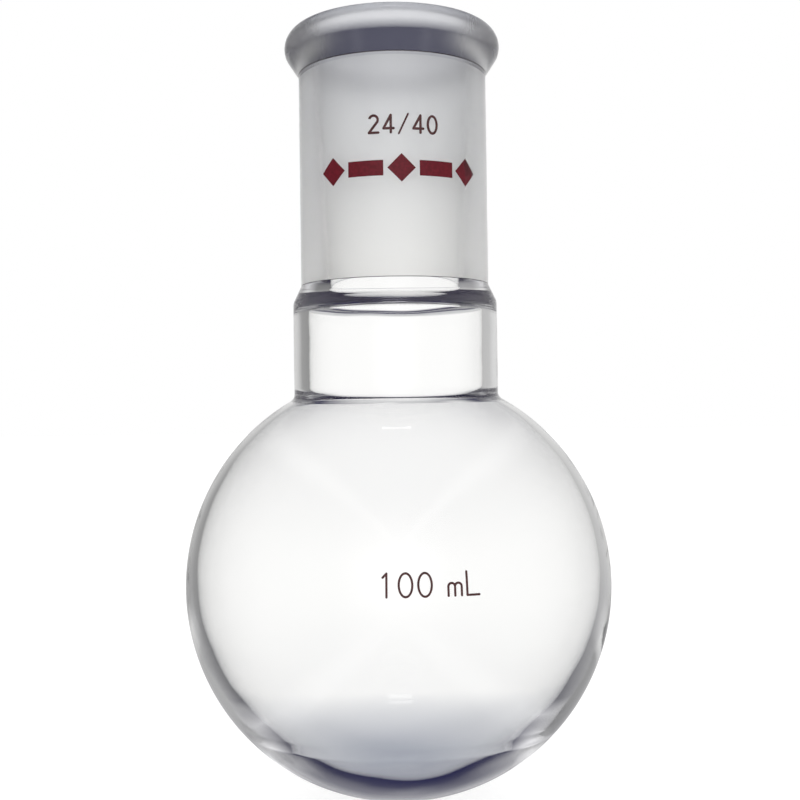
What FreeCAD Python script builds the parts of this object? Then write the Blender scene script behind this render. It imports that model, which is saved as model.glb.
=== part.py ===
import FreeCAD, Part
import math
import os

import Sketcher

# Round bottom flask, 100 mL, with one 24/40 standard taper ground socket.
# Millimetres. +Z runs up the flask's axis, the origin is the lowest point of the bulb,
# and the printed marks face -Y. Borosilicate glass, worked in sections that are sealed
# to each other in the flame, with three ceramic enamel marks fired onto the outside.

Vector = FreeCAD.Vector
UP = Vector(0, 0, 1)
START, END, CENTRE = 1, 2, 3
ORIGIN = (-1, 1)
AXIS = -2

DIMENSIONS = {
    # Bulb: a 64 mm sphere outside. Inside, the glass is thick round the heel, where it
    # gathers as the bulb is blown, and thin at the crown.
    "bulb_radius": 32.0,
    "base_wall": 2.6,
    "base_radius": 29.3,
    "heel_angle": 47.5,
    "flank_radius": 28.5,
    "crown_radius": 30.4,
    "crown_height": 32.7,
    "bulb_top": 58.5,
    # Seal between bulb and neck, and the plain neck above it.
    "neck_radius": 15.5,
    "neck_bore_radius": 13.2,
    "root_round": 1.2,
    "root_round_inside": 2.5,
    "neck_start": 62.0,
    "neck_end": 71.5,
    # Seal between neck and ground socket: a rounded shoulder outside, and inside a flat
    # roof, rounded at its edge, that turns over a nose into the bore.
    "shoulder_height": 73.9,
    "shoulder_round": 2.5,
    "roof_round": 1.0,
    "nose_round": 1.2,
    # Ground socket: 24 mm across the bore's large end and 20 mm across 40 mm down. It is
    # ground as far as the seal, and the last of the taper runs on clear into the seal.
    "socket_start": 77.0,
    "socket_end": 109.0,
    "socket_radius": 14.25,
    "bore_large_radius": 12.0,
    "taper_length": 41.0,
    "taper": 0.1,
    # Beaded rim.
    "total_height": 116.0,
    "bead_radius": 16.35,
    "bead_round": 2.95,
    "lip_round": 0.4,
    # Enamel marks. Heights are of their middles, and azimuths are to the right of the front.
    "enamel_thickness": 0.06,
    "capacity_height": 35.9,
    "capacity_azimuth": 7.4,
    "capacity_letter": 3.25,
    "capacity_stroke": 0.29,
    "joint_size_height": 98.6,
    "joint_size_azimuth": 6.3,
    "joint_size_letter": 2.8,
    "joint_size_stroke": 0.36,
    "band_height": 92.4,
    "band_azimuth": 5.0,
    "band_letter": 4.05,
    "lozenge_width": 4.05,
    "dash_length": 5.2,
    "dash_width": 2.2,
    "band_gap": 0.6,
}

doc = FreeCAD.newDocument("round_bottom_flask")
sheet = doc.addObject("Spreadsheet::Sheet", "Dimensions")
for row, (alias, value) in enumerate(DIMENSIONS.items(), start=1):
    sheet.set(f"A{row}", alias)
    sheet.set(f"B{row}", str(value))
    sheet.setAlias(f"B{row}", alias)
doc.recompute()

sub_parts = []


def size(alias):
    """The sheet's value for one driving dimension."""
    return float(sheet.get(alias))


def bound(formula):
    """The formula with each alias written as a reference to the sheet."""
    words = [f"Dimensions.{word}" if word in DIMENSIONS else word for word in formula.split()]
    return " ".join(words)


def polar(centre, radius, degrees):
    """The point of a circle at an angle counted from the outward radius towards +Z."""
    angle = math.radians(degrees)
    return (centre[0] + radius * math.cos(angle), centre[1] + radius * math.sin(angle))


class Profile:
    """A closed half section on a body's XZ plane: distance from the axis, then height."""

    def __init__(self, label):
        self.body = doc.addObject("PartDesign::Body", label.title().replace("_", ""))
        self.body.Label = label
        self.sketch = self.body.newObject("Sketcher::SketchObject", self.body.Name + "Profile")
        plane = origin_plane(self.body, "XZ_Plane")
        self.sketch.AttachmentSupport = [(plane, "")]
        self.sketch.MapMode = "FlatFace"

    def line(self, start, end):
        ends = [Vector(point[0], point[1], 0) for point in (start, end)]
        return self.sketch.addGeometry(Part.LineSegment(*ends), False)

    def arc(self, centre, radius, first_degrees, last_degrees):
        circle = Part.Circle(Vector(centre[0], centre[1], 0), UP, radius)
        angles = (math.radians(first_degrees), math.radians(last_degrees))
        return self.sketch.addGeometry(Part.ArcOfCircle(circle, *angles), False)

    def tie(self, kind, *references):
        self.sketch.addConstraint(Sketcher.Constraint(kind, *references))

    def dimension(self, kind, references, name, formula, value):
        index = self.sketch.addConstraint(Sketcher.Constraint(kind, *references, value))
        self.sketch.renameConstraint(index, name)
        self.sketch.setExpression(f"Constraints.{name}", bound(formula))

    def radius(self, arc, name, formula):
        value = self.sketch.Geometry[arc].Radius
        self.dimension("Radius", (arc,), name, formula, value)

    def across(self, element, point, name, formula):
        """The point's distance from the axis."""
        value = self.sketch.getPoint(element, point).x
        self.dimension("DistanceX", (*ORIGIN, element, point), name, formula, value)

    def height(self, element, point, name, formula):
        """The point's height over the origin."""
        value = self.sketch.getPoint(element, point).y
        self.dimension("DistanceY", (*ORIGIN, element, point), name, formula, value)

    def revolve(self):
        if self.sketch.solve() != 0 or not self.sketch.FullyConstrained:
            raise RuntimeError(f"the profile of {self.body.Label} can't be solved")
        turn = self.body.newObject("PartDesign::Revolution", self.body.Name + "Revolution")
        turn.Profile = self.sketch
        turn.ReferenceAxis = (self.sketch, ["V_Axis"])
        turn.Angle = 360.0
        self.body.Tip = turn
        sub_parts.append(self.body)


def origin_plane(body, role):
    return next(item for item in body.Origin.OriginFeatures if item.Role == role)


# --- glass -----------------------------------------------------------------------------


def make_bulb():
    """The sphere, cut flat where the neck's seal begins.

    The inside runs from the middle of the base along the base arc, up a short cone at the
    heel angle, round the flank arc, and on round the crown.
    """
    outer = (0, size("bulb_radius"))
    crown = (0, size("crown_height"))
    base = (0, size("base_wall") + size("base_radius"))
    heel = size("heel_angle")
    inset = polar(base, size("base_radius") - size("flank_radius"), heel - 90)
    reach = size("crown_radius") - size("flank_radius")
    offset = (inset[0], inset[1] - crown[1])
    back = offset[0] * math.cos(math.radians(heel)) + offset[1] * math.sin(math.radians(heel))
    cone_length = math.sqrt(back**2 + reach**2 - offset[0] ** 2 - offset[1] ** 2) - back
    flank = polar(inset, cone_length, heel)
    flank_end = math.degrees(math.atan2(flank[1] - crown[1], flank[0]))
    top_outside = math.degrees(math.asin((size("bulb_top") - outer[1]) / size("bulb_radius")))
    top_inside = math.degrees(math.asin((size("bulb_top") - crown[1]) / size("crown_radius")))

    profile = Profile("bulb")
    skin = profile.arc(outer, size("bulb_radius"), -90, top_outside)
    edge = (polar(outer, size("bulb_radius"), top_outside), polar(crown, size("crown_radius"), top_inside))
    rim = profile.line(*edge)
    inner_crown = profile.arc(crown, size("crown_radius"), flank_end, top_inside)
    inner_flank = profile.arc(flank, size("flank_radius"), heel - 90, flank_end)
    cone = profile.line(
        polar(base, size("base_radius"), heel - 90), polar(flank, size("flank_radius"), heel - 90)
    )
    inner_base = profile.arc(base, size("base_radius"), -90, heel - 90)
    axis = profile.line((0, size("base_wall")), (0, 0))

    profile.tie("Coincident", skin, START, *ORIGIN)
    profile.tie("Coincident", skin, START, axis, END)
    profile.tie("Coincident", skin, END, rim, START)
    profile.tie("Coincident", rim, END, inner_crown, END)
    profile.tie("Tangent", inner_crown, START, inner_flank, END)
    profile.tie("Tangent", inner_flank, START, cone, END)
    profile.tie("Tangent", cone, START, inner_base, END)
    profile.tie("Coincident", inner_base, START, axis, START)
    profile.tie("Vertical", axis)
    profile.tie("Horizontal", rim)
    for arc in (skin, inner_crown, inner_base):
        profile.tie("PointOnObject", arc, CENTRE, AXIS)
    profile.radius(skin, "bulb", "bulb_radius")
    profile.radius(inner_crown, "crown", "crown_radius")
    profile.radius(inner_base, "base_arc", "base_radius")
    profile.radius(inner_flank, "flank", "flank_radius")
    profile.height(inner_crown, CENTRE, "crown_centre", "crown_height")
    profile.height(axis, START, "base", "base_wall")
    profile.height(rim, START, "top", "bulb_top")
    profile.dimension(
        "Angle", (cone,), "heel_cone", "heel_angle * 1 deg", math.radians(heel)
    )
    profile.revolve()


def make_neck_seal_ring():
    """The seal between bulb and neck, rounded into both, outside and inside."""
    outer = (0, size("bulb_radius"))
    crown = (0, size("crown_height"))
    outer_round = seal_round(outer, size("bulb_radius"), size("neck_radius"), size("root_round"))
    inner_round = seal_round(
        crown, size("crown_radius"), size("neck_bore_radius"), size("root_round_inside")
    )
    outer_turn = math.degrees(math.atan2(outer_round[1] - outer[1], outer_round[0]))
    inner_turn = math.degrees(math.atan2(inner_round[1] - crown[1], inner_round[0]))
    outer_start = math.degrees(math.asin((size("bulb_top") - outer[1]) / size("bulb_radius")))
    inner_start = math.degrees(math.asin((size("bulb_top") - crown[1]) / size("crown_radius")))

    profile = Profile("neck_seal_ring")
    foot = profile.line(
        polar(crown, size("crown_radius"), inner_start), polar(outer, size("bulb_radius"), outer_start)
    )
    skin = profile.arc(outer, size("bulb_radius"), outer_start, outer_turn)
    root = profile.arc(outer_round, size("root_round"), 180, 180 + outer_turn)
    side = profile.line(
        (size("neck_radius"), outer_round[1]), (size("neck_radius"), size("neck_start"))
    )
    top = profile.line(
        (size("neck_radius"), size("neck_start")), (size("neck_bore_radius"), size("neck_start"))
    )
    bore = profile.line(
        (size("neck_bore_radius"), size("neck_start")), (size("neck_bore_radius"), inner_round[1])
    )
    inner_root = profile.arc(inner_round, size("root_round_inside"), 180, 180 + inner_turn)
    inner_skin = profile.arc(crown, size("crown_radius"), inner_start, inner_turn)

    profile.tie("Coincident", foot, END, skin, START)
    profile.tie("Tangent", skin, END, root, END)
    profile.tie("Tangent", root, START, side, START)
    profile.tie("Coincident", side, END, top, START)
    profile.tie("Coincident", top, END, bore, START)
    profile.tie("Tangent", bore, END, inner_root, START)
    profile.tie("Tangent", inner_root, END, inner_skin, END)
    profile.tie("Coincident", inner_skin, START, foot, START)
    for arc in (skin, inner_skin):
        profile.tie("PointOnObject", arc, CENTRE, AXIS)
    for flat in (foot, top):
        profile.tie("Horizontal", flat)
    for upright in (side, bore):
        profile.tie("Vertical", upright)
    profile.radius(skin, "bulb", "bulb_radius")
    profile.radius(inner_skin, "crown", "crown_radius")
    profile.radius(root, "root", "root_round")
    profile.radius(inner_root, "root_inside", "root_round_inside")
    profile.height(skin, CENTRE, "bulb_centre", "bulb_radius")
    profile.height(inner_skin, CENTRE, "crown_centre", "crown_height")
    profile.height(foot, START, "foot_level", "bulb_top")
    profile.height(top, START, "top_level", "neck_start")
    profile.across(side, END, "neck", "neck_radius")
    profile.across(bore, START, "neck_bore", "neck_bore_radius")
    profile.revolve()


def seal_round(centre, sphere_radius, tube_radius, round_radius):
    """The centre of the round that touches a sphere and a tube on the axis from outside."""
    across = tube_radius + round_radius
    return (across, centre[1] + math.sqrt((sphere_radius + round_radius) ** 2 - across**2))


def make_neck_tube():
    """The plain drawn tube between the two seals."""
    body = doc.addObject("PartDesign::Body", "NeckTube")
    body.Label = "neck_tube"
    sketch = body.newObject("Sketcher::SketchObject", "NeckTubeSection")
    sketch.AttachmentSupport = [(origin_plane(body, "XY_Plane"), "")]
    sketch.MapMode = "FlatFace"
    sketch.setExpression("AttachmentOffset.Base.z", bound("neck_start"))
    for name, alias in (("outside", "neck_radius"), ("inside", "neck_bore_radius")):
        ring = sketch.addGeometry(Part.Circle(Vector(), UP, size(alias)), False)
        sketch.addConstraint(Sketcher.Constraint("Coincident", ring, CENTRE, *ORIGIN))
        index = sketch.addConstraint(Sketcher.Constraint("Radius", ring, size(alias)))
        sketch.renameConstraint(index, name)
        sketch.setExpression(f"Constraints.{name}", bound(alias))
    pad = body.newObject("PartDesign::Pad", "NeckTubePad")
    pad.Profile = sketch
    pad.setExpression("Length", bound("neck_end - neck_start"))
    body.Tip = pad
    sub_parts.append(body)


def ground_radius(height):
    """The radius of the ground taper's wall at a height."""
    return size("bore_large_radius") - (size("total_height") - height) * size("taper") / 2


def make_joint_seal_ring():
    """The seal between neck and socket: the shoulder outside, the roof and nose inside."""
    taper_end = size("total_height") - size("taper_length")
    crease = (size("socket_radius"), size("socket_start"))
    shoulder = (size("neck_radius") - size("shoulder_round"), size("shoulder_height"))
    shoulder_turn = tangent_angle(crease, shoulder, size("shoulder_round"))
    nose = (ground_radius(taper_end) + size("nose_round"), taper_end)
    level = nose[1] - size("nose_round")
    roof = (size("neck_bore_radius") - size("roof_round"), level - size("roof_round"))

    profile = Profile("joint_seal_ring")
    foot = profile.line(
        (size("neck_bore_radius"), size("neck_end")), (size("neck_radius"), size("neck_end"))
    )
    side = profile.line((size("neck_radius"), size("neck_end")), (size("neck_radius"), shoulder[1]))
    bulge = profile.arc(shoulder, size("shoulder_round"), 0, shoulder_turn)
    slope = profile.line(polar(shoulder, size("shoulder_round"), shoulder_turn), crease)
    top = profile.line(crease, (ground_radius(crease[1]), crease[1]))
    ground = profile.line((ground_radius(crease[1]), crease[1]), (ground_radius(nose[1]), nose[1]))
    lip = profile.arc(nose, size("nose_round"), 180, 270)
    ceiling = profile.line((nose[0], level), (roof[0], level))
    dome = profile.arc(roof, size("roof_round"), 0, 90)
    bore = profile.line((size("neck_bore_radius"), roof[1]), (size("neck_bore_radius"), size("neck_end")))

    profile.tie("Coincident", foot, END, side, START)
    profile.tie("Tangent", side, END, bulge, START)
    profile.tie("Tangent", bulge, END, slope, START)
    profile.tie("Coincident", slope, END, top, START)
    profile.tie("Coincident", top, END, ground, START)
    profile.tie("Coincident", ground, END, lip, START)
    profile.tie("Tangent", lip, END, ceiling, START)
    profile.tie("Tangent", ceiling, END, dome, END)
    profile.tie("Tangent", dome, START, bore, START)
    profile.tie("Coincident", bore, END, foot, START)
    for flat in (foot, top, ceiling):
        profile.tie("Horizontal", flat)
    for upright in (side, bore):
        profile.tie("Vertical", upright)
    profile.tie("Horizontal", lip, START, lip, CENTRE)
    profile.radius(bulge, "shoulder", "shoulder_round")
    profile.radius(lip, "nose", "nose_round")
    profile.radius(dome, "roof", "roof_round")
    profile.across(side, START, "neck", "neck_radius")
    profile.across(bore, START, "neck_bore", "neck_bore_radius")
    profile.across(top, START, "socket", "socket_radius")
    profile.across(
        ground, START, "ground_top", "bore_large_radius - ( total_height - socket_start ) * taper / 2"
    )
    profile.across(ground, END, "ground_end", "bore_large_radius - taper_length * taper / 2")
    profile.height(foot, START, "foot_level", "neck_end")
    profile.height(top, START, "top_level", "socket_start")
    profile.height(bulge, CENTRE, "shoulder_level", "shoulder_height")
    profile.height(lip, CENTRE, "nose_level", "total_height - taper_length")
    profile.revolve()


def tangent_angle(point, centre, radius):
    """The angle on a circle where the line from an outside point touches it, on its far side."""
    away = (point[0] - centre[0], point[1] - centre[1])
    spread = math.acos(radius / math.hypot(*away))
    return math.degrees(math.atan2(away[1], away[0]) - spread)


def make_joint_socket():
    """The ground socket's wall: a plain tube outside and the ground taper inside."""
    low, high = size("socket_start"), size("socket_end")
    corners = [
        (ground_radius(low), low),
        (size("socket_radius"), low),
        (size("socket_radius"), high),
        (ground_radius(high), high),
    ]
    profile = Profile("joint_socket")
    sides = [profile.line(corners[i], corners[(i + 1) % 4]) for i in range(4)]
    foot, wall, top, ground = sides
    for first, second in zip(sides, sides[1:] + sides[:1]):
        profile.tie("Coincident", first, END, second, START)
    profile.tie("Horizontal", foot)
    profile.tie("Vertical", wall)
    profile.tie("Horizontal", top)
    profile.across(wall, START, "socket", "socket_radius")
    profile.across(
        foot, START, "ground_low", "bore_large_radius - ( total_height - socket_start ) * taper / 2"
    )
    profile.across(
        ground, START, "ground_high", "bore_large_radius - ( total_height - socket_end ) * taper / 2"
    )
    profile.height(foot, START, "foot_level", "socket_start")
    profile.height(top, START, "top_level", "socket_end")
    profile.revolve()


def make_rim_bead():
    """The rolled bead at the mouth, flat on top, with the end of the ground taper inside."""
    low, high = size("socket_end"), size("total_height")
    crease = (size("socket_radius"), low)
    bead = (size("bead_radius") - size("bead_round"), high - size("bead_round"))
    flare_turn = -tangent_angle((crease[0], -crease[1]), (bead[0], -bead[1]), size("bead_round"))
    lip = (size("bore_large_radius") + size("lip_round"), high - size("lip_round"))

    profile = Profile("rim_bead")
    foot = profile.line((ground_radius(low), low), crease)
    flare = profile.line(crease, polar(bead, size("bead_round"), flare_turn))
    bulge = profile.arc(bead, size("bead_round"), flare_turn, 90)
    face = profile.line((bead[0], high), (lip[0], high))
    edge = profile.arc(lip, size("lip_round"), 90, 180)
    ground = profile.line((size("bore_large_radius"), lip[1]), (ground_radius(low), low))

    profile.tie("Coincident", foot, END, flare, START)
    profile.tie("Tangent", flare, END, bulge, START)
    profile.tie("Tangent", bulge, END, face, START)
    profile.tie("Tangent", face, END, edge, START)
    profile.tie("Coincident", edge, END, ground, START)
    profile.tie("Coincident", ground, END, foot, START)
    profile.tie("Horizontal", foot)
    profile.tie("Horizontal", face)
    profile.tie("Horizontal", edge, END, edge, CENTRE)
    profile.radius(bulge, "bead", "bead_round")
    profile.radius(edge, "lip", "lip_round")
    profile.across(
        foot, START, "ground_low", "bore_large_radius - ( total_height - socket_end ) * taper / 2"
    )
    profile.across(foot, END, "socket", "socket_radius")
    profile.across(bulge, CENTRE, "bead_centre", "bead_radius - bead_round")
    profile.across(edge, END, "mouth", "bore_large_radius")
    profile.height(foot, START, "foot_level", "socket_end")
    profile.height(face, START, "top_level", "total_height")
    profile.revolve()


# --- enamel ----------------------------------------------------------------------------
# Each mark is drawn flat, as prisms that stand on the plane of their own letter, and is
# kept only where it passes through a thin shell on the glass.


def dash(start, end, stroke, depth):
    """A straight stroke with round ends."""
    run = Vector(end[0] - start[0], end[1] - start[1], 0)
    box = Part.makeBox(run.Length, stroke, depth, Vector(0, -stroke / 2, 0))
    turn = FreeCAD.Rotation(Vector(1, 0, 0), run)
    box.Placement = FreeCAD.Placement(Vector(start[0], start[1], 0), turn)
    ends = [Part.makeCylinder(stroke / 2, depth, Vector(p[0], p[1], 0)) for p in (start, end)]
    return [box, *ends]


def bow(centre, radius, first_degrees, last_degrees, stroke, depth):
    """A stroke along part of a circle."""
    base = Vector(centre[0], centre[1], 0)
    sweep = last_degrees - first_degrees
    rings = [
        Part.makeCylinder(reach, depth, base, UP, sweep)
        for reach in (radius + stroke / 2, radius - stroke / 2)
    ]
    ring = rings[0].cut(rings[1])
    ring.rotate(base, UP, first_degrees)
    return [ring]


def zero(letter, stroke, depth):
    """An upright oval ring."""
    middle = Vector(0, letter / 2, 0)
    ovals = []
    for inset in (0, stroke):
        across = 0.31 * letter - inset
        oval = Part.Ellipse(Vector(0, letter - inset, 0), Vector(across, letter / 2, 0), middle)
        ovals.append(Part.Face(Part.Wire(oval.toShape())).extrude(Vector(0, 0, depth)))
    return [ovals[0].cut(ovals[1])]


def one(letter, stroke, depth):
    foot = (0, stroke / 2)
    head = (0, letter - stroke / 2)
    flag = (-0.15 * letter, 0.8 * letter)
    return dash(foot, head, stroke, depth) + dash(head, flag, stroke, depth)


def two(letter, stroke, depth):
    bowl = 0.22 * letter
    middle = (0, letter - stroke / 2 - bowl)
    left = (-bowl * 1.1, stroke / 2)
    right = (bowl * 1.1, stroke / 2)
    return (
        bow(middle, bowl, -40, 165, stroke, depth)
        + dash(polar(middle, bowl, -40), left, stroke, depth)
        + dash(left, right, stroke, depth)
    )


def four(letter, stroke, depth):
    head = (0.12 * letter, letter - stroke / 2)
    foot = (head[0], stroke / 2)
    left = (-0.25 * letter, 0.27 * letter)
    right = (0.26 * letter, left[1])
    return (
        dash(foot, head, stroke, depth)
        + dash(head, left, stroke, depth)
        + dash(left, right, stroke, depth)
    )


def slash(letter, stroke, depth):
    return dash((-0.24 * letter, 0), (0.24 * letter, letter), 0.75 * stroke, depth)


def small_m(letter, stroke, depth):
    """Three legs under two round arches."""
    arch = 0.135 * letter
    spring = 0.58 * letter - arch - stroke / 2
    legs = []
    for side in (-2 * arch, 0, 2 * arch):
        legs += dash((side, stroke / 2), (side, spring), stroke, depth)
    arches = bow((-arch, spring), arch, 0, 180, stroke, depth)
    arches += bow((arch, spring), arch, 0, 180, stroke, depth)
    return legs + arches


def capital_l(letter, stroke, depth):
    foot = (-0.24 * letter, stroke / 2)
    head = (foot[0], letter - stroke / 2)
    toe = (0.26 * letter, foot[1])
    return dash(foot, head, stroke, depth) + dash(foot, toe, stroke, depth)


def joined(prisms):
    """One solid from prisms that overlap."""
    solid = prisms[0]
    for prism in prisms[1:]:
        solid = solid.fuse(prism)
    return solid.removeSplitter()


def stand_on_glass(prism, azimuth, base_height, reach):
    """Turn a prism drawn flat to face outwards from the axis, starting at a reach from it."""
    turn = FreeCAD.Rotation(UP, azimuth).multiply(FreeCAD.Rotation(Vector(1, 0, 0), 90))
    outward = turn.multVec(UP)
    placed = prism.copy()
    placed.Placement = FreeCAD.Placement(outward * reach + UP * base_height, turn)
    return placed


def letter_block(name, letters, glass_radius, mark):
    """The prisms of a row of letters: (outline, step from the last one in letter heights)."""
    letter, stroke = size(mark + "_letter"), size(mark + "_stroke")
    depth = 0.3 * glass_radius
    base_height = size(mark + "_height") - letter / 2
    length = sum(step for _, step in letters) * letter
    place = -length / 2
    prisms = []
    for outline, step in letters:
        place += step * letter
        azimuth = size(mark + "_azimuth") + math.degrees(place / glass_radius)
        prism = joined(outline(letter, stroke, depth))
        prisms.append(stand_on_glass(prism, azimuth, base_height, 0.8 * glass_radius))
    block = doc.addObject("Part::Feature", name)
    block.Shape = Part.makeCompound(prisms)
    return block


def band_block(name):
    """The prisms of the ornament: three lozenges with a dash between each two."""
    glass_radius = size("socket_radius")
    half_height, half_width = size("band_letter") / 2, size("lozenge_width") / 2
    half_length = size("dash_length") / 2
    half_dash = size("dash_width") / 2
    lozenge = [(half_width, 0), (0, half_height), (-half_width, 0), (0, -half_height)]
    bar = [
        (half_length, half_dash),
        (-half_length, half_dash),
        (-half_length, -half_dash),
        (half_length, -half_dash),
    ]
    pitch = half_width + size("band_gap") + half_length
    prisms = []
    for index in range(-2, 3):
        outline = lozenge if index % 2 == 0 else bar
        points = [Vector(x, y, 0) for x, y in outline + outline[:1]]
        prism = Part.Face(Part.makePolygon(points)).extrude(Vector(0, 0, 0.3 * glass_radius))
        azimuth = size("band_azimuth") + math.degrees(index * pitch / glass_radius)
        prisms.append(stand_on_glass(prism, azimuth, size("band_height"), 0.8 * glass_radius))
    block = doc.addObject("Part::Feature", name)
    block.Shape = Part.makeCompound(prisms)
    return block


def socket_shell(name, middle, tall):
    """A thin sleeve on the socket, one enamel thickness deep."""
    shapes = []
    for suffix, radius in (("Outside", "socket_radius + enamel_thickness"), ("Inside", "socket_radius")):
        cylinder = doc.addObject("Part::Cylinder", name + suffix)
        cylinder.setExpression("Radius", bound(radius))
        cylinder.setExpression("Height", bound(f"{tall} * 2"))
        cylinder.setExpression("Placement.Base.z", bound(f"{middle} - {tall}"))
        shapes.append(cylinder)
    return cut_shell(name, shapes)


def bulb_shell(name):
    """A thin skin on the bulb, one enamel thickness deep."""
    shapes = []
    for suffix, radius in (("Outside", "bulb_radius + enamel_thickness"), ("Inside", "bulb_radius")):
        sphere = doc.addObject("Part::Sphere", name + suffix)
        sphere.setExpression("Radius", bound(radius))
        sphere.setExpression("Placement.Base.z", bound("bulb_radius"))
        shapes.append(sphere)
    return cut_shell(name, shapes)


def cut_shell(name, shapes):
    shell = doc.addObject("Part::Cut", name)
    shell.Base, shell.Tool = shapes
    return shell


def make_mark(label, shell, block):
    mark = doc.addObject("Part::Common", label.title().replace("_", ""))
    mark.Label = label
    mark.Base = shell
    mark.Tool = block
    sub_parts.append(mark)


def make_capacity_mark():
    """100 mL, on the bulb."""
    letters = [(one, 0), (zero, 0.75), (zero, 0.77), (small_m, 1.2), (capital_l, 0.74)]
    block = letter_block("CapacityLetters", letters, size("bulb_radius"), "capacity")
    make_mark("capacity_mark", bulb_shell("CapacityShell"), block)


def make_joint_size_mark():
    """24/40, the size of the ground joint, on the socket."""
    letters = [(two, 0), (four, 0.76), (slash, 0.76), (four, 0.76), (zero, 0.76)]
    block = letter_block("JointSizeLetters", letters, size("socket_radius"), "joint_size")
    shell = socket_shell("JointSizeShell", "joint_size_height", "joint_size_letter")
    make_mark("joint_size_mark", shell, block)


def make_identification_mark():
    """A plain ornamental band under the joint size."""
    shell = socket_shell("IdentificationShell", "band_height", "band_letter")
    make_mark("identification_mark", shell, band_block("IdentificationBand"))


# --- assembly --------------------------------------------------------------------------

make_bulb()
make_neck_seal_ring()
make_neck_tube()
make_joint_seal_ring()
make_joint_socket()
make_rim_bead()
make_capacity_mark()
make_joint_size_mark()
make_identification_mark()
doc.recompute()

for item in doc.Objects:
    if "Invalid" in item.State or "Error" in item.State:
        raise RuntimeError(f"{item.Name} is {item.State}")
for sub_part in sub_parts:
    if sub_part.Shape.isNull() or not sub_part.Shape.isValid():
        raise RuntimeError(f"{sub_part.Label} has no valid shape")

os.makedirs("parts", exist_ok=True)
for sub_part in sub_parts:
    sub_part.Shape.exportStep(f"parts/{sub_part.Label}.step")
    solids = len(sub_part.Shape.Solids)
    print(f"{sub_part.Label}: {solids} solid(s), {sub_part.Shape.Volume:.2f} mm3")
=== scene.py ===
import math

import bmesh
import bpy
import numpy as np
from mathutils import Matrix, Vector


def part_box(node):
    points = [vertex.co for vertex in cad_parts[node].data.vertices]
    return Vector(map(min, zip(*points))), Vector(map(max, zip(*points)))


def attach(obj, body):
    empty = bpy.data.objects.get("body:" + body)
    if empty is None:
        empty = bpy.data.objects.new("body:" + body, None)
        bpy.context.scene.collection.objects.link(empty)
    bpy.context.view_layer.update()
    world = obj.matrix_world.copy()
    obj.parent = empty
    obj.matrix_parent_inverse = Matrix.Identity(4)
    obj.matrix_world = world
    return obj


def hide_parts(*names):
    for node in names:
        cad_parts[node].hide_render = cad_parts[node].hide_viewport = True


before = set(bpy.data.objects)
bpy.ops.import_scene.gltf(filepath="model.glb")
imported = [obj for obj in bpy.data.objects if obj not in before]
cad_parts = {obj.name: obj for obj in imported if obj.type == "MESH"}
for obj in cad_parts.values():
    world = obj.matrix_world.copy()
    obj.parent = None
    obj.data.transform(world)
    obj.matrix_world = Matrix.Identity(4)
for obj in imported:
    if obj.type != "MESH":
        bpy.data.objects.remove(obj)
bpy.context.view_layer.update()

# A 100 mL round bottom flask with a 24/40 ground socket, in metres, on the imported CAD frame.
# The glass is turned as one skin and cut at the CAD's planes, so that the six sections meet
# exactly and light crosses from one to the next as it does in fused glass.

MM = 0.001
scene = bpy.context.scene


# --- sizes, from the frame and from the CAD's sections --------------------------------


def reach(node):
    """The largest and the smallest distance of a CAD node from the axis."""
    points = np.array([v.co[:2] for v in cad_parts[node].data.vertices])
    across = np.hypot(points[:, 0], points[:, 1])
    return across.max(), across.min()


BULB_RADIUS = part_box("bulb")[1].x
BULB_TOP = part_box("bulb")[1].z
NECK_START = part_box("neck_tube")[0].z
NECK_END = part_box("neck_tube")[1].z
NECK_RADIUS, NECK_BORE = reach("neck_tube")
SOCKET_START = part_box("joint_socket")[0].z
SOCKET_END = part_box("joint_socket")[1].z
SOCKET_RADIUS = reach("joint_socket")[0]
BEAD_RADIUS = reach("rim_bead")[0]
TOTAL_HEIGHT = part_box("rim_bead")[1].z

# The bulb's inside: a base arc, a short cone, a flank arc and a crown arc, as in the CAD.
BASE_WALL = 2.6 * MM
BASE_RADIUS = 29.3 * MM
HEEL_ANGLE = 47.5
FLANK_RADIUS = 28.5 * MM
CROWN_RADIUS = 30.4 * MM
CROWN_HEIGHT = 32.7 * MM

# How the arcs of the base and heel are run together: up to what height, over what length
# along the outline, how many such lengths are averaged, and how softly it ends.
EASED_HEIGHT = 26.0 * MM
EASING = 4.5 * MM
EASING_REACH = 2.5
EASING_FADE = 0.3

# The neck's root, the shoulder under the socket, and the roof and nose inside it.
ROOT_ROUND = 1.2 * MM
ROOT_ROUND_INSIDE = 2.5 * MM
SHOULDER_HEIGHT = 73.9 * MM
SHOULDER_ROUND = 2.5 * MM
ROOF_ROUND = 1.0 * MM
NOSE_ROUND = 1.2 * MM

# The ground taper, the bead, and the creases at the socket's ends.
TAPER = 0.1
TAPER_END = TOTAL_HEIGHT - 41.0 * MM
MOUTH_RADIUS = 12.0 * MM
BEAD_ROUND = 2.95 * MM
LIP_ROUND = 0.4 * MM
CREASE_ROUND = 0.35 * MM
CREASE_LIFT = 0.25 * CREASE_ROUND
# How far from each crease the outside is tinted dark: a band of painted shade.
PAINTED_SHADE_REACH = 0.22 * MM

ENAMEL_THICKNESS = 0.055 * MM
ENAMEL_FOOT = 0.004 * MM

# How far apart the outline's points are, and how many there are round the axis.
BULB_STEP = 0.6 * MM
TUBE_STEP = 0.5 * MM
ROOT_STEP = 0.15 * MM
BEAD_STEP = 0.12 * MM
ROUND_STEP = 0.1 * MM
CREASE_STEP = 0.06 * MM
SEGMENTS = 256

# Which of a glass piece's materials a face has. The last is a dark tint at the creases, painted
# shade.
CLEAR, GROUND, FUSED, LIP, PAINTED_CREASE_SHADE = range(5)


# --- the flask's outline ---------------------------------------------------------------


def polar(centre, radius, degrees):
    angle = math.radians(degrees)
    return (centre[0] + radius * math.cos(angle), centre[1] + radius * math.sin(angle))


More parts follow.
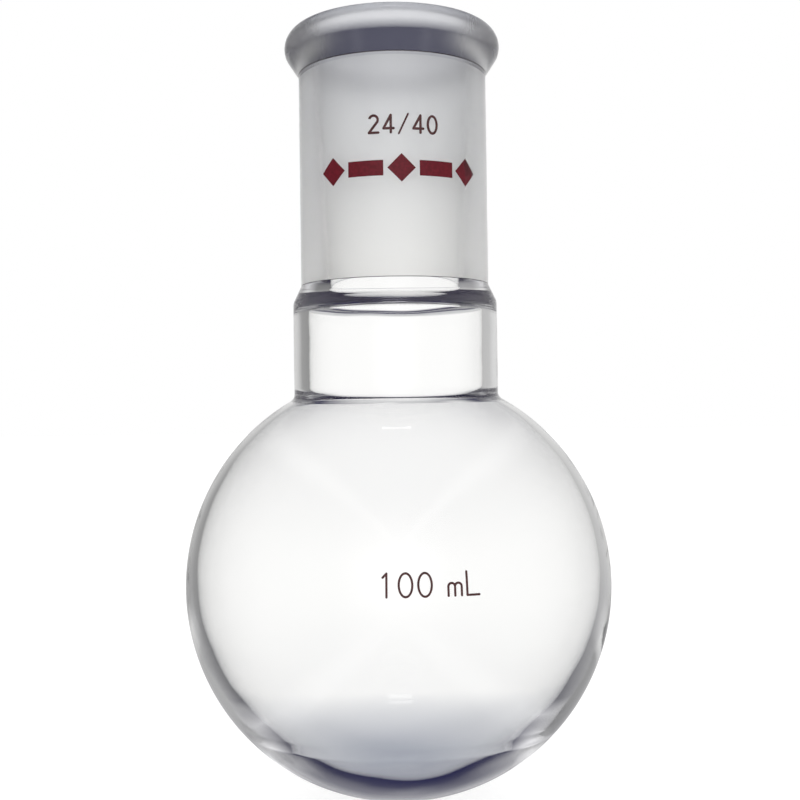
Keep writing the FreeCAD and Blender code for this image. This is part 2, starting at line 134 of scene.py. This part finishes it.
def arc(centre, radius, first, last, step):
    """Points of an arc, angles in degrees from the outward radius towards +Z."""
    count = max(3, math.ceil(abs(math.radians(last - first)) * radius / step))
    return [polar(centre, radius, a) for a in np.linspace(first, last, count + 1)]


def line(start, end, step):
    count = max(1, math.ceil(math.dist(start, end) / step))
    return [tuple(p) for p in np.linspace(start, end, count + 1)]


def ground_radius(height):
    return MOUTH_RADIUS - (TOTAL_HEIGHT - height) * TAPER / 2


def touching_round(centre, sphere_radius, tube_radius, round_radius):
    """The centre of the round that touches a sphere and a tube on the axis from outside."""
    across = tube_radius + round_radius
    return (across, centre[1] + math.sqrt((sphere_radius + round_radius) ** 2 - across**2))


def tangent_angle(point, centre, radius, side):
    """The angle on a circle where the line from an outside point touches it."""
    away = (point[0] - centre[0], point[1] - centre[1])
    spread = math.acos(radius / math.hypot(*away))
    return math.degrees(math.atan2(away[1], away[0]) + side * spread)


def outer_outline():
    """From the bottom of the bulb up the outside to the flat of the rim."""
    centre = (0, BULB_RADIUS)
    root = touching_round(centre, BULB_RADIUS, NECK_RADIUS, ROOT_ROUND)
    root_turn = math.degrees(math.atan2(root[1] - centre[1], root[0]))
    shoulder = (NECK_RADIUS - SHOULDER_ROUND, SHOULDER_HEIGHT)
    low_crease = (SOCKET_RADIUS + CREASE_ROUND, SOCKET_START + CREASE_LIFT)
    slope_turn = tangent_angle(low_crease, shoulder, SHOULDER_ROUND, -1)
    bead = (BEAD_RADIUS - BEAD_ROUND, TOTAL_HEIGHT - BEAD_ROUND)
    high_crease = (SOCKET_RADIUS + CREASE_ROUND, SOCKET_END - CREASE_LIFT)
    flare_turn = tangent_angle(high_crease, bead, BEAD_ROUND, 1)
    points = arc(centre, BULB_RADIUS, -90, root_turn, BULB_STEP)
    points += arc(root, ROOT_ROUND, 180 + root_turn, 180, ROUND_STEP)
    points += line((NECK_RADIUS, root[1]), (NECK_RADIUS, shoulder[1]), TUBE_STEP)[1:]
    points += arc(shoulder, SHOULDER_ROUND, 0, slope_turn, BEAD_STEP)[1:]
    points += arc(low_crease, CREASE_ROUND, 180 + slope_turn, 180, CREASE_STEP)
    wall = ((SOCKET_RADIUS, low_crease[1]), (SOCKET_RADIUS, high_crease[1]))
    points += line(*wall, TUBE_STEP)[1:]
    points += arc(high_crease, CREASE_ROUND, 180, 180 + flare_turn, CREASE_STEP)[1:]
    points += arc(bead, BEAD_ROUND, flare_turn, 90, BEAD_STEP)
    return points


def inner_outline():
    """From the flat of the rim down the inside to the middle of the base."""
    lip = (MOUTH_RADIUS + LIP_ROUND, TOTAL_HEIGHT - LIP_ROUND)
    nose = (ground_radius(TAPER_END) + NOSE_ROUND, TAPER_END)
    level = TAPER_END - NOSE_ROUND
    roof = (NECK_BORE - ROOF_ROUND, level - ROOF_ROUND)
    crown = (0, CROWN_HEIGHT)
    root = touching_round(crown, CROWN_RADIUS, NECK_BORE, ROOT_ROUND_INSIDE)
    root_turn = math.degrees(math.atan2(root[1] - crown[1], root[0]))
    base = (0, BASE_WALL + BASE_RADIUS)
    inset = polar(base, BASE_RADIUS - FLANK_RADIUS, HEEL_ANGLE - 90)
    reach_in = CROWN_RADIUS - FLANK_RADIUS
    offset = (inset[0], inset[1] - crown[1])
    heel = math.radians(HEEL_ANGLE)
    back = offset[0] * math.cos(heel) + offset[1] * math.sin(heel)
    cone_length = math.sqrt(back**2 + reach_in**2 - offset[0] ** 2 - offset[1] ** 2) - back
    flank = polar(inset, cone_length, HEEL_ANGLE)
    flank_end = math.degrees(math.atan2(flank[1] - crown[1], flank[0]))
    points = arc(lip, LIP_ROUND, 90, 180, CREASE_STEP)
    points += line(points[-1], (ground_radius(TAPER_END), TAPER_END), TUBE_STEP)[1:]
    points += arc(nose, NOSE_ROUND, 180, 270, ROUND_STEP)[1:]
    points += arc(roof, ROOF_ROUND, 90, 0, ROUND_STEP)
    points += line((NECK_BORE, roof[1]), (NECK_BORE, root[1]), TUBE_STEP)[1:]
    points += arc(root, ROOT_ROUND_INSIDE, 180, 180 + root_turn, ROOT_STEP)[1:]
    points += arc(crown, CROWN_RADIUS, root_turn, flank_end, BULB_STEP)
    points += arc(flank, FLANK_RADIUS, flank_end, HEEL_ANGLE - 90, BULB_STEP)[1:]
    points += arc(base, BASE_RADIUS, HEEL_ANGLE - 90, -90, BULB_STEP)
    return eased(points)


def eased(points):
    """The bulb's inside with its arcs run together, as blown glass runs: distances from the
    bulb's centre are averaged along the outline near the base and the heel."""
    out = np.array(points)
    low = np.where(out[:, 1] < EASED_HEIGHT)[0]
    away = out[low] - (0, BULB_RADIUS)
    distance = np.hypot(away[:, 0], away[:, 1])
    spread = EASING / BULB_STEP
    reach_out = math.ceil(EASING_REACH * spread)
    weights = np.exp(-0.5 * (np.arange(-reach_out, reach_out + 1) / spread) ** 2)
    start = np.repeat(distance[:1], reach_out)
    mirrored = distance[-2 : -2 - reach_out : -1]
    padded = np.concatenate([start, distance, mirrored])
    smooth = np.convolve(padded, weights / weights.sum(), "valid")
    fade = np.clip((EASED_HEIGHT - out[low, 1]) / (EASING_FADE * EASED_HEIGHT), 0, 1)
    distance_now = distance + fade * (smooth - distance)
    out[low] = (0, BULB_RADIUS) + away * (distance_now / distance)[:, None]
    return [tuple(p) for p in out]


def cut_at(points, heights):
    """The outline with a point of its own at each height, and the places of those points."""
    out = [points[0]]
    for point in points[1:]:
        last = out[-1]
        crossed = [z for z in heights if min(last[1], point[1]) < z < max(last[1], point[1])]
        for z in sorted(crossed, key=lambda z: abs(z - last[1])):
            share = (z - last[1]) / (point[1] - last[1])
            out.append((last[0] + share * (point[0] - last[0]), z))
        if math.dist(out[-1], point) > 1e-3 * MM:
            out.append(point)
    places = [min(range(len(out)), key=lambda i: abs(out[i][1] - z)) for z in heights]
    return out, places


# Where the hand work is centred and how far it spreads, in mm of height.
JOINT_SEAL = (73.5, 2.2)
NECK_SEAL = (59.5, 2.5)
HEEL = (9.0, 8.0)
WORKED_TOP = 74
AXIS_FADE = 6.0

# Waves round the axis: size, waves in a turn, phase, and twist for each mm of height.
WAVES = [(0.50, 2, 0.6, 0.35), (0.35, 3, -1.1, -0.50), (0.25, 5, 2.0, 0.90), (0.12, 9, -0.4, -1.30)]
SLOW_WAVES = [(1.0, 1, 2.4, 0.05), (0.5, 2, -0.7, 0.09)]

# How far the waves move the inside and the outside, and how far the outside draws in, in mm.
INSIDE_AT_JOINT, INSIDE_AT_NECK, INSIDE_AT_HEEL, INSIDE_ELSEWHERE = 0.035, 0.06, 0.05, 0.012
OUTSIDE_AT_JOINT, OUTSIDE_AT_NECK, DRAWN_IN = 0.016, 0.012, 0.02


def hand_work(outline, inside):
    """How far the flame-worked glass strays from true, along its radius, at each grid point.

    It is most at the two seals and round the heel, and almost nothing on the ground joint.
    """
    turn = np.linspace(0, 2 * np.pi, SEGMENTS, endpoint=False)[None, :]
    height = np.array(outline)[:, 1][:, None] / MM
    across = np.array(outline)[:, 0][:, None] / MM

    def near(place):
        return np.exp(-(((height - place[0]) / place[1]) ** 2))

    def added(waves):
        return sum(
            size * np.sin(count * turn + phase + twist * height)
            for size, count, phase, twist in waves
        )

    joint_seal, neck_seal, heel = near(JOINT_SEAL), near(NECK_SEAL), near(HEEL)
    if inside:
        size = INSIDE_AT_JOINT * joint_seal + INSIDE_AT_NECK * neck_seal + INSIDE_AT_HEEL * heel
        size = size + INSIDE_ELSEWHERE * (height < WORKED_TOP)
        offset = size * added(WAVES) + INSIDE_AT_HEEL * heel * added(SLOW_WAVES)
    else:
        size = OUTSIDE_AT_JOINT * joint_seal + OUTSIDE_AT_NECK * neck_seal
        offset = size * added(WAVES) - DRAWN_IN * (joint_seal + neck_seal)
    return offset * np.clip(across / AXIS_FADE, 0, 1) * MM


class Skin:
    """The whole flask as one grid of points and normals: outline places by turns."""

    def __init__(self):
        cuts = [BULB_TOP, NECK_START, NECK_END, SOCKET_START, SOCKET_END]
        outer, self.outer_cuts = cut_at(outer_outline(), cuts)
        inner, inner_cuts = cut_at(inner_outline(), cuts)
        self.outline = outer + inner
        self.inner_cuts = [len(outer) + i for i in inner_cuts]
        self.split = len(outer)
        stray = np.vstack([hand_work(outer, False), hand_work(inner, True)])
        turn = np.linspace(0, 2 * np.pi, SEGMENTS, endpoint=False)
        points = np.array(self.outline)
        across = points[:, 0][:, None] + stray
        across[0] = across[-1] = 0
        self.points = np.stack(
            [across * np.cos(turn), across * np.sin(turn), np.repeat(points[:, 1:], SEGMENTS, 1)],
            axis=2,
        )
        along = np.gradient(self.points, axis=0)
        around = np.roll(self.points, -1, 1) - np.roll(self.points, 1, 1)
        normals = np.cross(around, along)
        length = np.linalg.norm(normals, axis=2, keepdims=True)
        self.normals = normals / np.maximum(length, 1e-12)
        self.normals[0] = (0, 0, -1)
        self.normals[-1] = (0, 0, 1)


def surface_finish(low, high, inside):
    """Which of a piece's materials covers the strip of skin between two heights."""
    height = (low + high) / 2
    if inside:
        if height < SOCKET_START:
            return CLEAR
        return GROUND if height < SOCKET_END else LIP
    # Outside, a narrow strip at each crease takes the dark-tinted glass: painted shade.
    to_crease = min(abs(height - SOCKET_START), abs(height - SOCKET_END))
    return PAINTED_CREASE_SHADE if to_crease < PAINTED_SHADE_REACH else CLEAR


def glass_piece(skin, name, runs, caps, materials):
    """A closed section of the skin: runs are ranges of outline places, caps pairs of places."""
    mesh = bpy.data.meshes.new(name)
    index = {}
    vertices = []
    faces = []
    finishes = []
    corner_normals = []

    def vertex(i, j):
        j %= SEGMENTS
        if i in (0, len(skin.outline) - 1):
            j = 0
        if (i, j) not in index:
            index[i, j] = len(vertices)
            vertices.append(skin.points[i, j])
        return index[i, j]

    def face(corners, finish, normal=None):
        places = []
        for i, j in corners:
            if vertex(i, j) not in [vertex(*c) for c in places]:
                places.append((i, j))
        faces.append([vertex(*c) for c in places])
        finishes.append(finish)
        for i, j in places:
            corner_normals.append(skin.normals[i, j % SEGMENTS] if normal is None else normal)

    for first, last in runs:
        for i in range(first, last):
            low, high = skin.outline[i][1], skin.outline[i + 1][1]
            finish = surface_finish(low, high, i >= skin.split)
            for j in range(SEGMENTS):
                face([(i, j), (i, j + 1), (i + 1, j + 1), (i + 1, j)], finish)
    for outer, inner, up in caps:
        for j in range(SEGMENTS):
            corners = [(outer, j), (outer, j + 1), (inner, j + 1), (inner, j)]
            face(corners if up > 0 else corners[::-1], FUSED, (0, 0, up))
    mesh.from_pydata(vertices, [], faces)
    mesh.polygons.foreach_set("material_index", finishes)
    mesh.polygons.foreach_set("use_smooth", [True] * len(faces))
    for material in materials:
        mesh.materials.append(material)
    mesh.normals_split_custom_set([tuple(n) for n in corner_normals])
    mesh.update()
    piece = bpy.data.objects.new(name, mesh)
    scene.collection.objects.link(piece)
    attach(piece, "root")
    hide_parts(name)
    return piece


# --- materials -------------------------------------------------------------------------

GLASS_IOR = 1.473

# Noise scales, in cells to the metre: of the glass, of the frost and of the enamel.
RIPPLES, DRAW_LINES, DRAW_LINE_SHARE = 90, 220, 0.25
GRAIN, RINGS, RING_SHARE, CLOUD = 9000, 2500, 0.5, 260
PRINT, PINHOLES = 2600, 9000
RIPPLE_DEPTH = 0.012 * MM
FROST_DEPTH = 0.02 * MM
ENAMEL_DEPTH = 0.02 * MM
CLOUD_SHARE = 0.12


class Nodes:
    """Short names for building one node tree."""

    def __init__(self, tree):
        self.tree = tree
        tree.nodes.clear()

    def add(self, kind, settings=None, inputs=None):
        node = self.tree.nodes.new(kind)
        for key, value in (settings or {}).items():
            setattr(node, key, value)
        for key, value in (inputs or {}).items():
            if isinstance(value, bpy.types.NodeSocket):
                self.tree.links.new(value, node.inputs[key])
            else:
                node.inputs[key].default_value = value
        return node

    def math(self, operation, *values, clamp=False):
        node = self.add("ShaderNodeMath", {"operation": operation, "use_clamp": clamp})
        for socket, value in zip(node.inputs, values):
            if isinstance(value, bpy.types.NodeSocket):
                self.tree.links.new(value, socket)
            else:
                socket.default_value = value
        return node.outputs[0]

    def ramp(self, value, stops):
        node = self.add("ShaderNodeValToRGB", inputs={0: value})
        node.color_ramp.interpolation = "LINEAR"
        elements = node.color_ramp.elements
        while len(elements) < len(stops):
            elements.new(0.5)
        for element, (place, colour) in zip(elements, stops):
            element.position = place
            element.color = (*colour, 1)
        return node.outputs[0]

    def mix(self, share, first, second):
        node = self.add("ShaderNodeMix", {"data_type": "RGBA"}, {0: share})
        for socket, value in ((node.inputs[6], first), (node.inputs[7], second)):
            if isinstance(value, bpy.types.NodeSocket):
                self.tree.links.new(value, socket)
            else:
                socket.default_value = (*value, 1)
        return node.outputs[2]


def new_material(name):
    material = bpy.data.materials.new(name)
    material.use_nodes = True
    nodes = Nodes(material.node_tree)
    where = nodes.add("ShaderNodeTexCoord").outputs["Object"]
    return material, nodes, where


def noise(nodes, where, scale, detail=2.0, stretch=(1, 1, 1)):
    """Noise with a cell of about 1 / scale metres, stretched along the axes."""
    place = nodes.add("ShaderNodeMapping", inputs={"Vector": where, "Scale": stretch})
    settings = {"Vector": place.outputs[0], "Scale": scale, "Detail": detail}
    return nodes.add("ShaderNodeTexNoise", inputs=settings).outputs[0]


def finish_material(nodes, shader):
    nodes.add("ShaderNodeOutputMaterial", inputs={"Surface": shader.outputs[0]})


def clear_glass(name, colour):
    """Fire-polished borosilicate of one tint, with faint draw lines and ripples."""
    material, nodes, where = new_material(name)
    ripples = noise(nodes, where, RIPPLES, 1.0)
    draw_lines = noise(nodes, where, DRAW_LINES, 1.0, (1, 1, 0.12))
    surface = nodes.math("ADD", ripples, nodes.math("MULTIPLY", draw_lines, DRAW_LINE_SHARE))
    bump = nodes.add(
        "ShaderNodeBump", inputs={"Height": surface, "Strength": 1.0, "Distance": RIPPLE_DEPTH}
    )
    shader = nodes.add(
        "ShaderNodeBsdfPrincipled",
        inputs={
            "Base Color": (*colour, 1),
            "Roughness": 0.0,
            "IOR": GLASS_IOR,
            "Transmission Weight": 1.0,
            "Normal": bump.outputs[0],
        },
    )
    finish_material(nodes, shader)
    return material


def ground_glass(name, clearness, roughness, painted_mouth_shade):
    """A ground surface: a fine even frost with faint grinding rings, and painted shade that greys
    it towards the mouth.
    """
    material, nodes, where = new_material(name)
    grain = noise(nodes, where, GRAIN, 3.0)
    rings = noise(nodes, where, RINGS, 2.0, (0.06, 0.06, 1))
    surface = nodes.math("ADD", grain, nodes.math("MULTIPLY", rings, RING_SHARE))
    bump = nodes.add(
        "ShaderNodeBump", inputs={"Height": surface, "Strength": 0.6, "Distance": FROST_DEPTH}
    )
    cloud = noise(nodes, where, CLOUD, 3.0)
    up = nodes.add("ShaderNodeSeparateXYZ", inputs={0: where}).outputs[2]
    # The colour greys with height from the socket's foot to the mouth: painted shade, with a little
    # random cloud in it.
    risen = nodes.math("SUBTRACT", up, SOCKET_START)
    depth = nodes.math("DIVIDE", risen, SOCKET_END - SOCKET_START)
    clouded = nodes.math("MULTIPLY_ADD", cloud, CLOUD_SHARE, -0.5 * CLOUD_SHARE)
    grey = nodes.math("ADD", depth, clouded)
    colour = nodes.ramp(grey, [(0.1, (0.97, 0.97, 0.955)), (1.0, painted_mouth_shade)])
    shader = nodes.add(
        "ShaderNodeBsdfPrincipled",
        inputs={
            "Base Color": colour,
            "Roughness": roughness,
            "IOR": GLASS_IOR,
            "Transmission Weight": clearness,
            "Normal": bump.outputs[0],
        },
    )
    finish_material(nodes, shader)
    return material


def fused_glass():
    """Where two sections are fused there is no surface, so light goes straight on."""
    material, nodes, _ = new_material("fused_glass")
    shader = nodes.add("ShaderNodeBsdfTransparent", inputs={"Color": (1, 1, 1, 1)})
    finish_material(nodes, shader)
    return material


def enamel(name, thin, thick):
    """Screen-printed enamel, fired on: a little uneven in depth, with a soft gloss."""
    material, nodes, where = new_material(name)
    depth = noise(nodes, where, PRINT, 3.0)
    colour = nodes.ramp(depth, [(0.35, thin), (0.62, thick)])
    pinholes = noise(nodes, where, PINHOLES, 2.0)
    bump = nodes.add(
        "ShaderNodeBump", inputs={"Height": pinholes, "Strength": 0.5, "Distance": ENAMEL_DEPTH}
    )
    shader = nodes.add(
        "ShaderNodeBsdfPrincipled",
        inputs={
            "Base Color": colour,
            "Roughness": 0.38,
            "Specular IOR Level": 0.25,
            "Normal": bump.outputs[0],
        },
    )
    finish_material(nodes, shader)
    return material


# --- enamel marks ----------------------------------------------------------------------


def enamel_mark(name, material, centre, glass_radius):
    """A mark from its CAD outline, laid on the turned glass.

    The centre is the bulb's for a mark on the bulb, and None for a mark on the socket, which
    is laid round the axis.
    """
    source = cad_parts[name].data
    work = bmesh.new()
    work.from_mesh(source)
    bmesh.ops.remove_doubles(work, verts=work.verts, dist=0.002 * MM)
    bmesh.ops.dissolve_limit(
        work, angle_limit=math.radians(1.0), verts=work.verts, edges=work.edges
    )
    bmesh.ops.triangulate(work, faces=work.faces)
    for vert in work.verts:
        middle = Vector(centre) if centre else Vector((0, 0, vert.co.z))
        away = vert.co - middle
        outside = away.length > glass_radius + 0.5 * ENAMEL_THICKNESS
        height = ENAMEL_THICKNESS if outside else ENAMEL_FOOT
        vert.co = middle + away.normalized() * (glass_radius + height)
    mesh = bpy.data.meshes.new(name)
    work.to_mesh(mesh)
    work.free()
    mesh.materials.append(material)
    piece = bpy.data.objects.new(name, mesh)
    scene.collection.objects.link(piece)
    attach(piece, "root")
    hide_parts(name)
    return piece


# --- studio ----------------------------------------------------------------------------


CAMERA_PLACE = (0.56 * MM, -187.0 * MM, 58.1 * MM)
CAMERA_LENS = 55.1
CAMERA_SENSOR = 36.0
CAMERA_RISE = 0.47
CAMERA_ROLL = -0.77
CAMERA_NEAR = 0.01


def make_camera():
    data = bpy.data.cameras.new("camera")
    data.sensor_width = CAMERA_SENSOR
    data.lens = CAMERA_LENS
    data.clip_start = CAMERA_NEAR
    camera = bpy.data.objects.new("camera", data)
    scene.collection.objects.link(camera)
    level = Matrix.Rotation(math.radians(90 + CAMERA_RISE), 4, "X")
    roll = Matrix.Rotation(math.radians(CAMERA_ROLL), 4, "Z")
    camera.matrix_world = Matrix.Translation(CAMERA_PLACE) @ level @ roll
    scene.camera = camera


def by_elevation(stops):
    """Ramp stops from pairs of elevation in degrees and colour."""
    return [((degrees + 90) / 180, colour) for degrees, colour in stops]


def by_radius(stops):
    """Ramp stops from pairs of distance from the flask's axis in mm and colour."""
    return [(radius * MM / FLOOR_FADE, colour) for radius, colour in stops]


# The studio is staged and not one real room: rays that go through the glass, rays it reflects
# and rays that light the frost each meet their own light. Behind the glass is a white sheet
# that ends overhead. What the glass reflects is a dim room, brightest about level with the
# eye and darker at the sides.
WHITE = (1.1, 1.1, 1.1)
DARK = (0.02, 0.02, 0.07)
GREY = (0.85, 0.85, 0.85)
SHEET = [(16, WHITE), (30, DARK)]
ROOM = [(-45, DARK), (-5, GREY), (15, GREY), (40, DARK)]
LEFT_SHARE = 0.35
RIGHT_SHARE = 0.6
ROOM_TURN = 0.55
ROOM_CURVE = 1.5

# Two strips low down at the sides: the bright gaps in the dark edge of the bulb.
STRIP_HUB = -0.2
STRIP_TURN = 45
STRIP_HALF_WIDTH = 8
STRIP_LIGHT = 0.6

# The floor through the glass is shaded at the flask's foot, by distance from the axis in mm.
SHADE = (0.42, 0.45, 0.52)
FOOT = [(5, SHADE), (45, WHITE)]

FLOOR_FADE = 120 * MM
FLOOR_SIDE = 3.0
FLOOR_GAP = 0.1 * MM
PAPER = (0.3, 0.3, 0.3, 1)
PAPER_GLOW = 0.82

# What falls on the frost and the enamel, from front and back and from the sides, and how
# much of the lit frost shows in what the glass reflects inside itself.
FRONT = (2.9, 2.9, 2.9)
AROUND = (0.35, 0.35, 0.35)
FRONT_CURVE = 1.5
FROST_INSIDE = (0.07, 0.06, 0.1)

SOFT_BOX_SIZE = (0.20, 0.06)
SOFT_BOX_ENERGY = 0.08
SOFT_BOX_PLACE = (0, 0.08, 1.08)


def make_world():
    """The studio. The eye sees plain white, and the glass a white sheet in a darker room."""
    world = bpy.data.worlds.new("studio")
    scene.world = world
    world.use_nodes = True
    nodes = Nodes(world.node_tree)
    toward = nodes.add("ShaderNodeTexCoord").outputs["Generated"]
    x, y, z = nodes.add("ShaderNodeSeparateXYZ", inputs={0: toward}).outputs
    path = nodes.add("ShaderNodeLightPath").outputs
    reflected = nodes.math("GREATER_THAN", path["Glossy Depth"], 0.5)
    scattered = nodes.math("GREATER_THAN", path["Diffuse Depth"], 0.5)
    lift = nodes.math("MULTIPLY_ADD", nodes.math("ARCSINE", z), 1 / math.pi, 0.5)
    sheet = nodes.ramp(lift, by_elevation(SHEET))
    room = nodes.ramp(lift, by_elevation(ROOM))
    aside = nodes.math("ABSOLUTE", x)
    turned = nodes.math("POWER", nodes.math("DIVIDE", aside, ROOM_TURN, clamp=True), ROOM_CURVE)
    right = nodes.math("GREATER_THAN", x, 0.0)
    loss = nodes.math("MULTIPLY_ADD", right, LEFT_SHARE - RIGHT_SHARE, 1 - LEFT_SHARE)
    share = nodes.math("SUBTRACT", 1.0, nodes.math("MULTIPLY", turned, loss))
    room = nodes.mix(share, (0.0, 0.0, 0.0), room)
    below = nodes.math("SUBTRACT", STRIP_HUB, z)
    spoke = nodes.math("ARCTAN2", x, below)
    for degrees in (-STRIP_TURN, STRIP_TURN):
        off = nodes.math("ABSOLUTE", nodes.math("SUBTRACT", spoke, math.radians(degrees)))
        share = nodes.math("DIVIDE", off, math.radians(STRIP_HALF_WIDTH), clamp=True)
        strip = nodes.math("MULTIPLY", nodes.math("SUBTRACT", 1.0, share), STRIP_LIGHT)
        both = nodes.add("ShaderNodeVectorMath", {"operation": "ADD"}, {0: room, 1: strip})
        room = both.outputs[0]
    seen = nodes.mix(reflected, sheet, room)
    facing = nodes.math("POWER", nodes.math("ABSOLUTE", y), FRONT_CURVE)
    lit = nodes.mix(facing, AROUND, FRONT)
    seen = nodes.mix(scattered, seen, nodes.mix(reflected, lit, FROST_INSIDE))
    seen = nodes.mix(path["Is Camera Ray"], seen, (1.0, 1.0, 1.0))
    background = nodes.add("ShaderNodeBackground", inputs={"Color": seen, "Strength": 1.0})
    nodes.add("ShaderNodeOutputWorld", inputs={"Surface": background.outputs[0]})


def floor_material():
    """Pale and plain to the eye. Through the glass it darkens towards the flask's foot, and what
    the glass reflects is the room, not the floor."""
    material, nodes, where = new_material("studio_floor")
    path = nodes.add("ShaderNodeLightPath").outputs
    x, y, _ = nodes.add("ShaderNodeSeparateXYZ", inputs={0: where}).outputs
    squares = nodes.math("ADD", nodes.math("MULTIPLY", x, x), nodes.math("MULTIPLY", y, y))
    radius = nodes.math("SQRT", squares)
    away = nodes.math("DIVIDE", radius, FLOOR_FADE, clamp=True)
    foot = nodes.ramp(away, by_radius(FOOT))
    through = nodes.add("ShaderNodeEmission", inputs={"Color": foot, "Strength": 1.0})
    gone = nodes.add("ShaderNodeBsdfTransparent")
    bounced = nodes.math("ADD", path["Glossy Depth"], path["Diffuse Depth"])
    reflected = nodes.math("GREATER_THAN", bounced, 0.5)
    bent = nodes.add(
        "ShaderNodeMixShader", inputs={0: reflected, 1: through.outputs[0], 2: gone.outputs[0]}
    )
    paper = nodes.add("ShaderNodeBsdfDiffuse", inputs={"Color": PAPER})
    glow = nodes.add("ShaderNodeEmission", inputs={"Color": (1, 1, 1, 1), "Strength": PAPER_GLOW})
    pale = nodes.add("ShaderNodeAddShader", inputs={0: paper.outputs[0], 1: glow.outputs[0]})
    both = nodes.add(
        "ShaderNodeMixShader",
        inputs={0: path["Is Camera Ray"], 1: bent.outputs[0], 2: pale.outputs[0]},
    )
    finish_material(nodes, both)
    return material


def make_floor():
    mesh = bpy.data.meshes.new("floor")
    side = FLOOR_SIDE
    corners = [(-side, -side, 0), (side, -side, 0), (side, side, 0), (-side, side, 0)]
    mesh.from_pydata(corners, [], [(0, 1, 2, 3)])
    mesh.materials.append(floor_material())
    floor = bpy.data.objects.new("floor", mesh)
    floor.location.z = -FLOOR_GAP
    scene.collection.objects.link(floor)


def make_light():
    data = bpy.data.lights.new("soft_box", "AREA")
    data.shape = "RECTANGLE"
    data.size, data.size_y = SOFT_BOX_SIZE
    data.energy = SOFT_BOX_ENERGY
    light = bpy.data.objects.new("soft_box", data)
    light.location = SOFT_BOX_PLACE
    scene.collection.objects.link(light)


# --- making ----------------------------------------------------------------------------

make_camera()
make_world()
make_floor()
make_light()

# In the order of CLEAR, GROUND, FUSED, LIP and the crease tint. The creases have a dark tint,
# painted shade that helps the fine dark line there.
glass = [
    clear_glass("clear_glass", (0.99, 0.99, 0.985)),
    # The socket's frost greys towards the top: painted shade.
    ground_glass("ground_glass", 0.6, 0.5, (0.78, 0.79, 0.81)),
    fused_glass(),
    # The lip's frost is greyer still towards the mouth: painted shade that darkens the bead.
    ground_glass("ground_lip", 1.0, 0.4, (0.55, 0.56, 0.60)),
    clear_glass("painted_crease_shade", (0.04, 0.03, 0.035)),
]
skin = Skin()
outer, inner = skin.outer_cuts, skin.inner_cuts
end = len(skin.outline) - 1
bulb_runs = [(0, outer[0]), (inner[0], end)]
glass_piece(skin, "bulb", bulb_runs, [(outer[0], inner[0], 1)], glass)
sections = ["neck_seal_ring", "neck_tube", "joint_seal_ring", "joint_socket"]
for low, name in enumerate(sections):
    runs = [(outer[low], outer[low + 1]), (inner[low + 1], inner[low])]
    caps = [(outer[low + 1], inner[low + 1], 1), (outer[low], inner[low], -1)]
    glass_piece(skin, name, runs, caps, glass)
bead_runs = [(outer[4], inner[4])]
glass_piece(skin, "rim_bead", bead_runs, [(outer[4], inner[4], -1)], glass)

brown = enamel("brown_enamel", (0.065, 0.024, 0.024), (0.04, 0.013, 0.013))
red = enamel("dark_red_enamel", (0.09, 0.002, 0.008), (0.065, 0.001, 0.005))
enamel_mark("capacity_mark", brown, (0, 0, BULB_RADIUS), BULB_RADIUS)
enamel_mark("joint_size_mark", brown, None, SOCKET_RADIUS)
enamel_mark("identification_mark", red, None, SOCKET_RADIUS)

scene.view_settings.view_transform = "Standard"
scene.view_settings.look = "None"
# Light that is trapped in the wall turns many times before it gets out.
scene.cycles.max_bounces = 96
scene.cycles.transmission_bounces = 96
scene.cycles.glossy_bounces = 96
scene.cycles.transparent_max_bounces = 64
